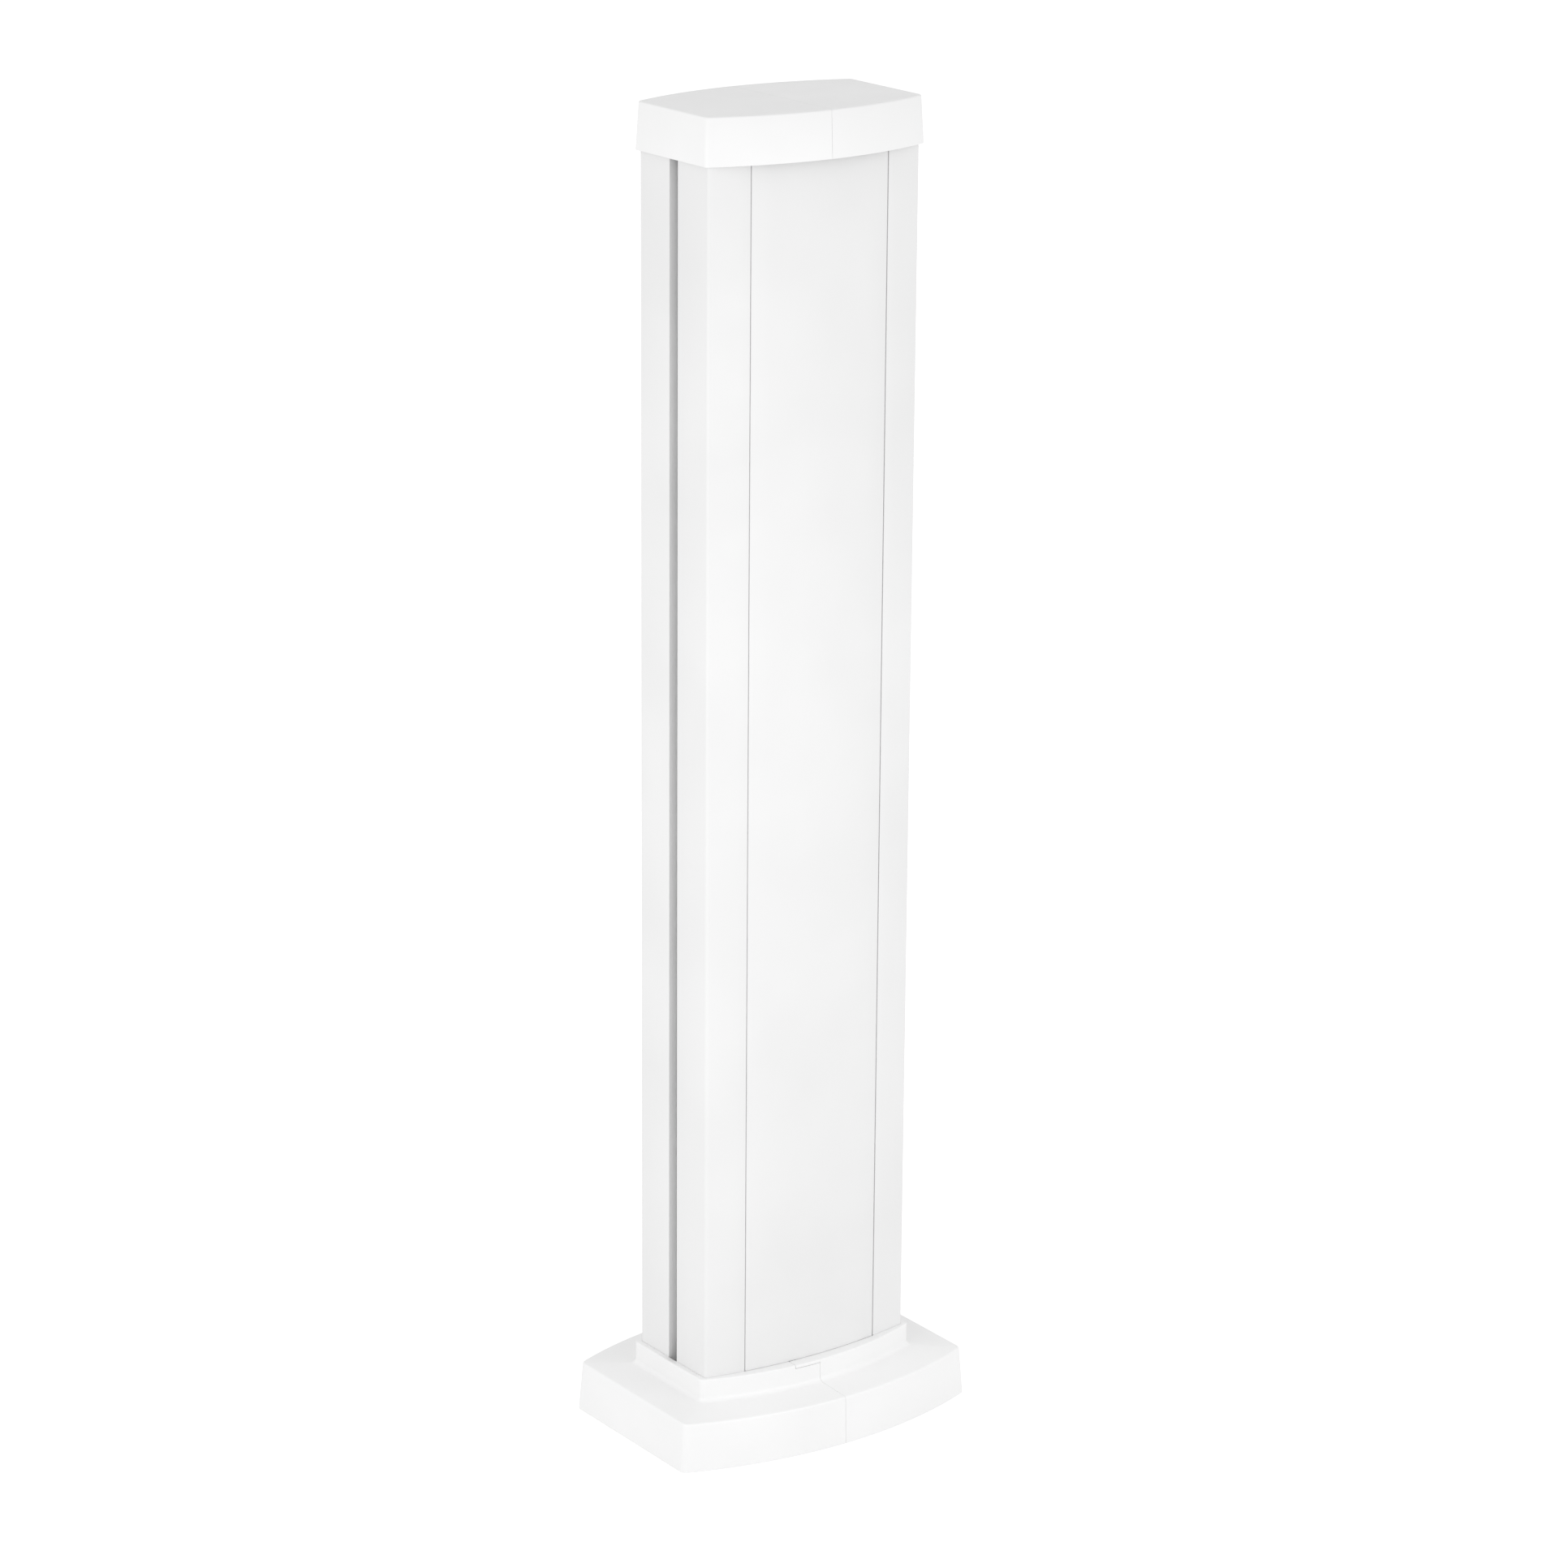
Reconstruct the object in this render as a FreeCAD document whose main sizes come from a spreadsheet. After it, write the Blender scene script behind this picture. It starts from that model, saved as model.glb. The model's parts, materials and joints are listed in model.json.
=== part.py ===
"""Service post: a slim floor-standing column for cabling with two compartments, as an assembly.

An extruded column stands on a steel floor plate. A web splits it into a front and a rear
compartment, each closed by a long bowed cover. Its top carries an insert with a rail, and the two
halves of the cap slide on that rail. The two halves of the base trim slide together round its foot.

Frame: origin at the centre of the footprint on the floor, X across the width, -Y to the front and
Z up. Lengths are millimetres.
"""
import FreeCAD, Part
import math
import os
import re

import Sketcher

SIZES = {
    # Overall
    "total_height": 680,
    # How far the cutting shapes run past a face, and how far a leg or hook runs into its wall
    "cut_overrun": 1,
    "weld_depth": 0.5,
    # Column profile
    "shoulder_width": 21.5,
    "column_depth": 72.6,
    "column_bow": 7.2,
    "column_corner_radius": 2,
    "web_thickness": 4,
    "channel_wall": 2.5,
    "face_wall": 2.1,
    "side_wall": 2,
    "chamber_wall": 2,
    "slot_opening": 7,
    "slot_width": 13,
    "slot_depth": 8,
    "lip_thickness": 1.5,
    "lip_depth": 2.5,
    "boss_diameter": 8.4,
    "boss_inset": 3.6,
    "ledge_width": 2.3,
    "ledge_thickness": 2,
    # Covers
    "cover_width": 80,
    "cover_thickness": 2,
    "seam_gap": 0.5,
    "ledge_clearance": 0.2,
    "leg_inset": 2.4,
    "leg_thickness": 2,
    "leg_depth": 9.5,
    "bead_height": 1.4,
    "bead_clearance": 0.1,
    # Partitions and cable clips
    "partition_place": 12,
    "partition_thickness": 1.6,
    "partition_clearance": 0.2,
    "partition_clip_gap": 0.5,
    "partition_end_gap": 4,
    "rail_thickness": 1.5,
    "rail_height": 3,
    "clip_leg_gap": 2.65,
    "clip_thickness": 1.6,
    "clip_height": 14,
    "clip_window_length": 28,
    "clip_window_height": 4.7,
    "clip_clearance": 0.2,
    "groove_depth": 1,
    "clip_first_level": 150,
    "clip_spacing": 190,
    # Floor plate, pad and grommet
    "pad_thickness": 1.5,
    "plate_thickness": 4,
    "plate_side_overhang": 18,
    "plate_front_overhang": 7.7,
    "plate_corner_radius": 6,
    "entry_side_inset": 2.5,
    "entry_front_inset": 11.3,
    "grommet_wall": 2,
    "grommet_flange": 3,
    "grommet_clearance": 0.1,
    "fixing_side_inset": 9,
    "fixing_front_inset": 10,
    "fixing_diameter": 9,
    # Screws
    "screw_diameter": 4,
    "screw_head_diameter": 8,
    "screw_length": 18,
    "screw_socket_size": 2.5,
    "screw_socket_depth": 1.4,
    "port_clearance": 0.2,
    "screw_hole_clearance": 0.5,
    "head_clearance": 0.3,
    # Cap
    "cap_height": 23.6,
    "cap_side_overhang": 2.3,
    "cap_edge_overhang": 1.1,
    "cap_front_overhang": 6.6,
    "cap_draft_angle": 2.6,
    "cap_corner_radius": 3,
    "cap_top_thickness": 2.4,
    "cap_front_wall": 2.2,
    "cap_fit": 0.8,
    "cap_edge_fit": 0.4,
    "cap_step": 1.8,
    "cap_room": 11.6,
    "cap_split_gap": 0.3,
    "cap_tongue_length": 12,
    "cap_tongue_root": 10,
    "cap_tongue_thickness": 1.5,
    "cap_tongue_clearance": 0.6,
    "cap_tongue_half_depth": 28,
    "hook_start": 14,
    "hook_end_inset": 7,
    "hook_thickness": 2,
    # Cap insert and its rail
    "insert_thickness": 3,
    "insert_inset": 0.4,
    "neck_half_width": 10,
    "neck_height": 2.5,
    "head_half_width": 14,
    "head_height": 3,
    "rail_end_inset": 5,
    "rail_clearance": 0.3,
    # Base trim
    "trim_side_reach": 27,
    "trim_front_reach": 29.6,
    "trim_edge_reach": 19.4,
    "trim_side_draft": 2.1,
    "trim_front_draft": 0.6,
    "trim_edge_draft": 0.9,
    "trim_corner_radius": 4.5,
    "trim_height": 26.2,
    "trim_top_thickness": 2.2,
    "trim_wall": 2.4,
    "trim_floor_gap": 0.3,
    "trim_column_gap": 0.3,
    "foot_radius": 2.5,
    "collar_height": 12.3,
    "collar_side_overhang": 3.3,
    "collar_flange": 2,
    "lap_length": 14.8,
    "lap_thickness": 1.6,
    "lap_gap": 0.3,
    "slide_clearance": 0.35,
    "cover_end_gap": 0.15,
    # Earth terminal
    "earth_place": 25,
    "earth_level": 80,
    "earth_diameter": 5,
    "earth_hole_diameter": 5.4,
    "earth_screw_length": 16,
    "earth_head_diameter": 9,
    "earth_head_height": 3.2,
    "earth_washer_diameter": 12,
    "earth_washer_thickness": 1,
    "earth_nut_across": 8,
    "earth_nut_height": 4,
}

document = FreeCAD.newDocument("service_post")
sheet = document.addObject("Spreadsheet::Sheet", "Sizes")
for row, (size_name, size) in enumerate(SIZES.items(), start=1):
    sheet.set(f"A{row}", size_name)
    sheet.set(f"B{row}", str(size))
    sheet.setAlias(f"B{row}", size_name)
document.recompute()


# Expressions of the sheet's sizes

def sized(expression):
    """The expression with each size named as a cell of the sheet."""
    return re.sub(r"[a-z]+(?:_[a-z]+)+", lambda word: "Sizes." + word.group(), str(expression))


def number(expression):
    """The value that an expression of the sheet's sizes has now."""
    found = sheet.evalExpression(sized(expression))
    return float(getattr(found, "Value", found))


def bow_radius(half_width, bow):
    """Radius of an arc that spans twice half_width and rises by bow at its middle."""
    return f"((({half_width})^2 + ({bow})^2) / (2 * ({bow})))"


def bow_depth(radius, crown, place):
    """Distance from the X axis to an arc of this radius and crown, at the place along X."""
    return f"(({crown}) - ({radius}) + sqrt(({radius})^2 - ({place})^2))"


def bowed(half_width, edge, crown, corner=None):
    """Corners of an outline with straight sides and with a front and a back that bow outwards.

    edge and crown are the half depths at the sides and at the middle, and corner is the radius
    of the rounded corners, each an arc tangent to the side and to the bow.
    """
    radius = bow_radius(half_width, f"({crown}) - ({edge})")
    if corner is None:
        return [(f"-({half_width})", f"-({edge})", radius), (half_width, f"-({edge})"),
                (half_width, edge, radius), (f"-({half_width})", edge)]
    centre = f"(({half_width}) - ({corner}))"
    centre_deep = bow_depth(f"({radius} - ({corner}))", f"({crown}) - ({corner})", centre)
    share = f"({radius} / ({radius} - ({corner})))"
    across = f"({centre} * {share})"
    deep = f"(({crown}) - {radius} + ({centre_deep} - ({crown}) + {radius}) * {share})"
    return [(f"-{across}", f"-{deep}", radius), (across, f"-{deep}", corner),
            (half_width, f"-{centre_deep}"), (half_width, centre_deep, corner),
            (across, deep, radius), (f"-{across}", deep, corner),
            (f"-({half_width})", centre_deep), (f"-({half_width})", f"-{centre_deep}", corner)]


def rectangle(left, right, low, high):
    return [(left, low), (right, low), (right, high), (left, high)]


def around(half_width, half_depth):
    """A rectangle round the origin."""
    return rectangle(f"-{half_width}", half_width, f"-{half_depth}", half_depth)


# Places that several pieces share
TOUCH = 0.01
COVER_SIDE = "(cover_width / 2)"
CHANNEL = f"({COVER_SIDE} + seam_gap)"
COLUMN_SIDE = f"({CHANNEL} + shoulder_width)"
COLUMN_CROWN = "(column_depth / 2)"
COLUMN_EDGE = f"({COLUMN_CROWN} - column_bow)"
COLUMN_RADIUS = bow_radius(COLUMN_SIDE, "column_bow")
WEB = "(web_thickness / 2)"
PLATE_BOTTOM = "pad_thickness"
PLATE_TOP = "(pad_thickness + plate_thickness)"
PLATE_SIDE = f"({COLUMN_SIDE} + plate_side_overhang)"
PLATE_DEEP = f"({COLUMN_CROWN} + plate_front_overhang)"
ENTRY_SIDE = f"({CHANNEL} - entry_side_inset)"
ENTRY_DEEP = f"({COLUMN_CROWN} - entry_front_inset)"
PROFILE_TOP = "(total_height - cap_top_thickness - cap_room)"
PROFILE_LENGTH = f"({PROFILE_TOP} - {PLATE_TOP})"
INSERT_TOP = f"({PROFILE_TOP} + insert_thickness)"
RAIL_END = f"({COLUMN_SIDE} - rail_end_inset)"
CAP_BOTTOM = "(total_height - cap_height)"
CAP_SIDE = f"({COLUMN_SIDE} + cap_side_overhang)"
CAP_EDGE = f"({COLUMN_EDGE} + cap_edge_overhang)"
CAP_CROWN = f"({COLUMN_CROWN} + cap_front_overhang)"
COLLAR_TOP = "(trim_height + collar_height)"
COLLAR_SIDE = f"({COLUMN_SIDE} + collar_side_overhang)"
COLLAR_RADIUS = bow_radius(COLLAR_SIDE, f"{CAP_CROWN} - {CAP_EDGE}")
PORT_ACROSS = f"({CHANNEL} + channel_wall + boss_inset)"
PORT_DEEP = "(slot_width / 2 + chamber_wall + boss_inset)"

# The cover's inner face, the ledges and legs behind it, and what lies behind the legs
COVER_RADIUS = f"({COLUMN_RADIUS} - cover_thickness)"
COVER_CROWN = f"({COLUMN_CROWN} - cover_thickness)"
LEDGE_TOP = f"({bow_depth(COVER_RADIUS, COVER_CROWN, COVER_SIDE)} - ledge_clearance)"
LEG_SIDE = f"({COVER_SIDE} - leg_inset)"
LEG_ROOT = f"({bow_depth(COVER_RADIUS, COVER_CROWN, LEG_SIDE)} + weld_depth)"
LEG_END = f"({LEG_ROOT} - leg_depth)"
CLIP_FAR = f"({LEG_END} - clip_leg_gap)"
CLIP_NEAR = f"({CLIP_FAR} - clip_thickness)"
PARTITION_END = f"({CLIP_NEAR} - partition_clip_gap)"


# Sketches and features

def new_body(name):
    body = document.addObject("PartDesign::Body", name)
    body.Label = name
    return body


def new_sketch(body, name, plane, level="0"):
    """A sketch on one of the body's own origin planes, moved along its normal to the level."""
    sketch = body.newObject("Sketcher::SketchObject", f"{body.Name}_{name}")
    support = next(item for item in body.Origin.OriginFeatures if item.Role == plane)
    sketch.AttachmentSupport = [(support, "")]
    sketch.MapMode = "FlatFace"
    sketch.setExpression("AttachmentOffset.Base.z", sized(level))
    return sketch


def dimension(sketch, kind, *places, expression):
    """Add one dimension to the sketch and bind it to its expression."""
    index = sketch.addConstraint(Sketcher.Constraint(kind, *places, number(expression)))
    sketch.setExpression(f"Constraints[{index}]", sized(expression))


def place_point(sketch, side, end, across, along):
    dimension(sketch, "DistanceX", -1, 1, side, end, expression=across)
    dimension(sketch, "DistanceY", -1, 1, side, end, expression=along)


def draw_outline(sketch, corners):
    """Draw a closed outline. A corner is (x, y), or (x, y, radius) where an arc of that radius
    leaves it for the next corner, bowed away from the origin."""
    points = [FreeCAD.Vector(number(corner[0]), number(corner[1]), 0) for corner in corners]
    ends = []
    for start, finish, corner in zip(points, points[1:] + points[:1], corners):
        if len(corner) == 2:
            side = sketch.addGeometry(Part.LineSegment(start, finish), False)
            ends.append((side, 1, 2))
            continue
        chord = finish - start
        middle = (start + finish) * 0.5
        outwards = FreeCAD.Vector(-chord.y, chord.x, 0).normalize()
        if outwards.dot(middle) < 0:
            outwards *= -1
        radius = number(corner[2])
        rise = radius - math.sqrt(radius ** 2 - (chord.Length / 2) ** 2)
        side = sketch.addGeometry(Part.Arc(start, middle + outwards * rise, finish), False)
        first = sketch.getPoint(side, 1)
        forward = (first - start).Length < (first - finish).Length
        ends.append((side, 1, 2) if forward else (side, 2, 1))
    for index, (side, first, last) in enumerate(ends):
        following = ends[(index + 1) % len(ends)]
        joined = Sketcher.Constraint("Coincident", side, last, following[0], following[1])
        sketch.addConstraint(joined)
        place_point(sketch, side, first, corners[index][0], corners[index][1])
        if len(corners[index]) == 3:
            dimension(sketch, "Radius", side, expression=corners[index][2])


def draw_circle(sketch, across, along, diameter):
    centre = FreeCAD.Vector(number(across), number(along), 0)
    circle = Part.Circle(centre, FreeCAD.Vector(0, 0, 1), number(diameter) / 2)
    side = sketch.addGeometry(circle, False)
    place_point(sketch, side, 3, across, along)
    dimension(sketch, "Diameter", side, expression=diameter)


def add_feature(body, kind, sketch, length):
    """Pad or pocket the sketch, along its normal, and make sure that it changes the body."""
    before = 0 if body.Shape.isNull() else body.Shape.Volume
    feature = body.newObject(f"PartDesign::{kind}", f"{sketch.Name}_{kind}")
    feature.Profile = sketch
    feature.Reversed = kind == "Pocket"
    feature.setExpression("Length", sized(length))
    document.recompute()
    grown = body.Shape.Volume - before
    if (grown <= 0) == (kind == "Pad"):
        raise RuntimeError(f"{feature.Name} changes nothing")
    return feature


def pad(body, name, plane, level, length, *outlines):
    sketch = new_sketch(body, name, plane, level)
    for corners in outlines:
        draw_outline(sketch, corners)
    return add_feature(body, "Pad", sketch, length)


def pocket(body, name, plane, level, length, *outlines):
    sketch = new_sketch(body, name, plane, level)
    for corners in outlines:
        draw_outline(sketch, corners)
    return add_feature(body, "Pocket", sketch, length)


def loft(body, name, *sections):
    """A ruled solid through sections, each a level and the corners of its outline."""
    sketches = []
    for order, (level, corners) in enumerate(sections, start=1):
        sketch = new_sketch(body, f"{name}_{order}", "XY_Plane", level)
        draw_outline(sketch, corners)
        sketches.append(sketch)
    feature = body.newObject("PartDesign::AdditiveLoft", f"{body.Name}_{name}")
    feature.Profile = sketches[0]
    feature.Sections = sketches[1:]
    feature.Ruled = True
    document.recompute()


def round_or_chamfer(body, kind, size, wanted):
    """Fillet or chamfer the edges of the body's last feature for which wanted is true."""
    base = body.Tip
    names = [f"Edge{place}" for place, edge in enumerate(base.Shape.Edges, start=1) if wanted(edge)]
    if not names:
        raise RuntimeError(f"{body.Name} has no edge for its {kind}")
    feature = body.newObject(f"PartDesign::{kind}", f"{body.Name}_{kind}")
    feature.Base = (base, names)
    feature.setExpression("Radius" if kind == "Fillet" else "Size", sized(size))
    document.recompute()


def is_corner(low, high, side):
    """A test for the edges that run from one level to another at the corners of an outline."""
    def wanted(edge):
        box = edge.BoundBox
        spans = abs(box.ZMin - number(low)) < TOUCH and abs(box.ZMax - number(high)) < TOUCH
        outside = min(abs(box.XMin), abs(box.XMax)) > number(side) - TOUCH
        return spans and outside
    return wanted


def is_level(level, within):
    """A test for the edges that lie flat at a level, no further out across the post than within."""
    def wanted(edge):
        box = edge.BoundBox
        flat = box.ZLength < TOUCH and abs(box.ZMin - number(level)) < TOUCH
        return flat and max(abs(box.XMin), abs(box.XMax)) < number(within)
    return wanted


def is_circle_at(level, diameter):
    """A test for the circles of one diameter that lie flat at a level."""
    flat_at_level = is_level(level, COLUMN_SIDE)

    def wanted(edge):
        curve = edge.Curve
        same_size = isinstance(curve, Part.Circle) and abs(curve.Radius * 2 - number(diameter)) < TOUCH
        return same_size and flat_at_level(edge)
    return wanted


# Pieces

def column_profile():
    """The extruded column: two channels, two side slots with lips that turn inwards, hollow
    corners and four screw ports."""
    body = new_body("column_profile")
    pad(body, "outline", "XY_Plane", PLATE_TOP, PROFILE_LENGTH,
        bowed(COLUMN_SIDE, COLUMN_EDGE, COLUMN_CROWN, "column_corner_radius"))
    pocket(body, "channels", "XY_Plane", PLATE_TOP, PROFILE_LENGTH, channel(1), channel(-1))
    chamber_start = f"({CHANNEL} + channel_wall)"
    chamber_end = f"({COLUMN_SIDE} - side_wall)"
    chamber_low = "(slot_width / 2 + chamber_wall)"
    far_corner = f"({COLUMN_EDGE} - face_wall)"
    near_corner = f"({bow_depth(COLUMN_RADIUS, COLUMN_CROWN, chamber_start)} - face_wall)"
    slot_start = f"({chamber_end} - slot_depth)"
    lip_end = f"({chamber_end} - lip_depth)"
    mouth = f"({COLUMN_SIDE} + cut_overrun)"
    hollows, slots = [], []
    for side in (1, -1):
        for face in (1, -1):
            hollows.append([(f"{side} * {across}", f"{face} * {deep}") for across, deep in (
                (chamber_start, chamber_low), (chamber_end, chamber_low),
                (chamber_end, far_corner), (chamber_start, near_corner))])
        hollows.append(rectangle(f"{side} * {chamber_start}", f"{side} * ({slot_start} - chamber_wall)",
                                 "-slot_width / 2", "slot_width / 2"))
        half_slot = [(slot_start, "slot_width / 2"), (chamber_end, "slot_width / 2"),
                     (chamber_end, "(slot_opening / 2 + lip_thickness)"),
                     (lip_end, "(slot_opening / 2 + lip_thickness)"), (lip_end, "slot_opening / 2"),
                     (mouth, "slot_opening / 2")]
        corners = [(across, f"-{deep}") for across, deep in half_slot] + half_slot[::-1]
        slots.append([(f"{side} * {across}", deep) for across, deep in corners])
    pocket(body, "hollows", "XY_Plane", PLATE_TOP, PROFILE_LENGTH, *hollows)
    pocket(body, "side_slots", "XY_Plane", PLATE_TOP, PROFILE_LENGTH, *slots)
    for kind, name, diameter in (("Pad", "bosses", "boss_diameter"),
                                 ("Pocket", "ports", "(screw_diameter + port_clearance)")):
        sketch = new_sketch(body, name, "XY_Plane", PLATE_TOP)
        for across, deep in port_places():
            draw_circle(sketch, across, deep, diameter)
        add_feature(body, kind, sketch, PROFILE_LENGTH)
    earth_hole = new_sketch(body, "earth_hole", "XZ_Plane", "-web_thickness")
    draw_circle(earth_hole, "-earth_place", "earth_level", "earth_hole_diameter")
    add_feature(body, "Pocket", earth_hole, "2 * web_thickness")
    return body


def port_places():
    return [(f"{side} * {PORT_ACROSS}", f"{face} * {PORT_DEEP}") for side in (1, -1) for face in (1, -1)]


def channel(face):
    """Outline of one compartment, with the ledges that the cover clips behind, the grooves for
    the cable clips and the two rails that hold the partition. face is 1 behind and -1 in front."""
    outside = f"({COLUMN_CROWN} + cut_overrun)"
    ledge_side = f"({CHANNEL} - ledge_width)"
    ledge_low = f"({LEDGE_TOP} - ledge_thickness)"
    groove_side = f"({CHANNEL} + groove_depth)"
    groove_high = f"({CLIP_FAR} + clip_clearance)"
    groove_low = f"({CLIP_NEAR} - clip_clearance)"
    rail_high = f"({WEB} + rail_height)"
    rail_near = "(partition_thickness / 2 + partition_clearance)"
    rail_far = f"({rail_near} + rail_thickness)"
    wall = [(CHANNEL, outside), (CHANNEL, LEDGE_TOP), (ledge_side, LEDGE_TOP), (ledge_side, ledge_low),
            (CHANNEL, ledge_low), (CHANNEL, groove_high), (groove_side, groove_high),
            (groove_side, groove_low), (CHANNEL, groove_low), (CHANNEL, WEB)]
    floor = []
    for side, order in ((-1, (rail_far, rail_near)), (1, (rail_near, rail_far))):
        first, last = (f"partition_place + {side} * {edge}" for edge in order)
        floor += [(first, WEB), (first, rail_high), (last, rail_high), (last, WEB)]
    left = [(f"-{across}", deep) for across, deep in wall]
    corners = left + floor + wall[::-1]
    return [(across, f"{face} * ({deep})") for across, deep in corners]


def cover(name, face):
    """A long bowed cover that goes on with the column's own curve, with two clip legs."""
    body = new_body(name)
    level = f"({COLLAR_TOP} + cover_end_gap)"
    length = f"({CAP_BOTTOM} - cover_end_gap - {level})"
    outer = f"{face} * {bow_depth(COLUMN_RADIUS, COLUMN_CROWN, COVER_SIDE)}"
    inner = f"{face} * {bow_depth(COVER_RADIUS, COVER_CROWN, COVER_SIDE)}"
    pad(body, "shell", "XY_Plane", level, length,
        [(f"-{COVER_SIDE}", outer, COLUMN_RADIUS), (COVER_SIDE, outer),
         (COVER_SIDE, inner, COVER_RADIUS), (f"-{COVER_SIDE}", inner)])
    bead_top = f"({LEDGE_TOP} - ledge_thickness - ledge_clearance)"
    bead_side = f"({CHANNEL} - ledge_width - bead_clearance)"
    legs = []
    for hand in (1, -1):
        corners = [(f"{LEG_SIDE} - leg_thickness", LEG_ROOT), (f"{LEG_SIDE} - leg_thickness", LEG_END),
                   (LEG_SIDE, LEG_END), (LEG_SIDE, f"{bead_top} - bead_height"),
                   (bead_side, f"{bead_top} - bead_height / 2"), (LEG_SIDE, bead_top), (LEG_SIDE, LEG_ROOT)]
        legs.append([(f"{hand} * ({across})", f"{face} * ({deep})") for across, deep in corners])
    pad(body, "legs", "XY_Plane", level, length, *legs)
    return body


def partition(name, face):
    """A strip that stands between the two rails of the web and splits a compartment."""
    body = new_body(name)
    left, right = (f"partition_place {sign} partition_thickness / 2" for sign in "-+")
    pad(body, "strip", "XY_Plane", f"{PLATE_TOP} + partition_end_gap",
        f"{PROFILE_LENGTH} - 2 * partition_end_gap",
        rectangle(left, right, f"{face} * {WEB}", f"{face} * {PARTITION_END}"))
    return body


def cable_clip(name, face, order):
    """A flat clip across a compartment, its two ends in the grooves of the channel walls."""
    body = new_body(name)
    side = f"({CHANNEL} + groove_depth - clip_clearance)"
    level = f"(clip_first_level + {order} * clip_spacing)"
    pad(body, "strap", "XY_Plane", level, "clip_height",
        rectangle(f"-{side}", side, f"{face} * {CLIP_NEAR}", f"{face} * {CLIP_FAR}"))
    half = "clip_window_length / 2"
    low, high = (f"{level} + (clip_height {sign} clip_window_height) / 2" for sign in "-+")
    outer_face = CLIP_FAR if face < 0 else f"-{CLIP_NEAR}"
    pocket(body, "window", "XZ_Plane", f"{outer_face} - clip_thickness - cut_overrun",
           "clip_thickness + 2 * cut_overrun", rectangle(f"-{half}", half, low, high))
    return body


def drill_plate(body, level, thickness, fixing_size):
    """Holes for the floor fixings."""
    sketch = new_sketch(body, "fixings", "XY_Plane", level)
    for side in (1, -1):
        for face in (1, -1):
            draw_circle(sketch, f"{side} * ({PLATE_SIDE} - fixing_side_inset)",
                        f"{face} * ({PLATE_DEEP} - fixing_front_inset)", fixing_size)
    add_feature(body, "Pocket", sketch, thickness)


def floor_plate():
    """The steel plate that is anchored to the floor and carries the column, open for the cables."""
    body = new_body("floor_plate")
    pad(body, "outline", "XY_Plane", PLATE_BOTTOM, "plate_thickness", around(PLATE_SIDE, PLATE_DEEP))
    round_or_chamfer(body, "Fillet", "plate_corner_radius", is_corner(PLATE_BOTTOM, PLATE_TOP, PLATE_SIDE))
    pocket(body, "entry", "XY_Plane", PLATE_BOTTOM, "plate_thickness", around(ENTRY_SIDE, ENTRY_DEEP))
    drill_plate(body, PLATE_BOTTOM, "plate_thickness", "fixing_diameter")
    sketch = new_sketch(body, "screw_holes", "XY_Plane", PLATE_BOTTOM)
    for across, place in port_places():
        draw_circle(sketch, across, place, "screw_diameter + screw_hole_clearance")
    add_feature(body, "Pocket", sketch, "plate_thickness")
    round_or_chamfer(body, "Chamfer", "(screw_head_diameter - screw_diameter) / 2",
                     is_circle_at(PLATE_BOTTOM, "screw_diameter + screw_hole_clearance"))
    return body


def floor_pad():
    """A thin rubber pad under the floor plate."""
    body = new_body("floor_pad")
    window, window_deep = (f"({half} + grommet_flange + grommet_wall)" for half in (ENTRY_SIDE, ENTRY_DEEP))
    pad(body, "outline", "XY_Plane", "0", "pad_thickness", around(PLATE_SIDE, PLATE_DEEP))
    round_or_chamfer(body, "Fillet", "plate_corner_radius", is_corner("0", "pad_thickness", PLATE_SIDE))
    pocket(body, "window", "XY_Plane", "0", "pad_thickness", around(window, window_deep))
    drill_plate(body, "0", "pad_thickness", "fixing_diameter + 2 * screw_hole_clearance")
    return body


def cable_entry_grommet():
    """A rubber lining of the cable entry, with a flange under the floor plate."""
    body = new_body("cable_entry_grommet")
    outer, flange, inner = ([f"({half} {change})" for half in (ENTRY_SIDE, ENTRY_DEEP)]
                            for change in ("- grommet_clearance", "+ grommet_flange", "- grommet_wall"))
    level = "(2 * grommet_clearance)"
    height = f"{PLATE_TOP} - grommet_clearance - {level}"
    pad(body, "flange", "XY_Plane", level, f"{PLATE_BOTTOM} - grommet_clearance - {level}", around(*flange))
    pad(body, "lining", "XY_Plane", level, height, around(*outer))
    pocket(body, "opening", "XY_Plane", level, height, around(*inner))
    return body


def primitive(kind, name, place, **sizes):
    """A Part primitive whose sizes and place are bound to the sheet."""
    shape = document.addObject(f"Part::{kind}", name)
    for size, expression in sizes.items():
        shape.setExpression(size, sized(expression))
    for axis, expression in zip("xyz", place):
        shape.setExpression(f"Placement.Base.{axis}", sized(expression))
    return shape


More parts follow.
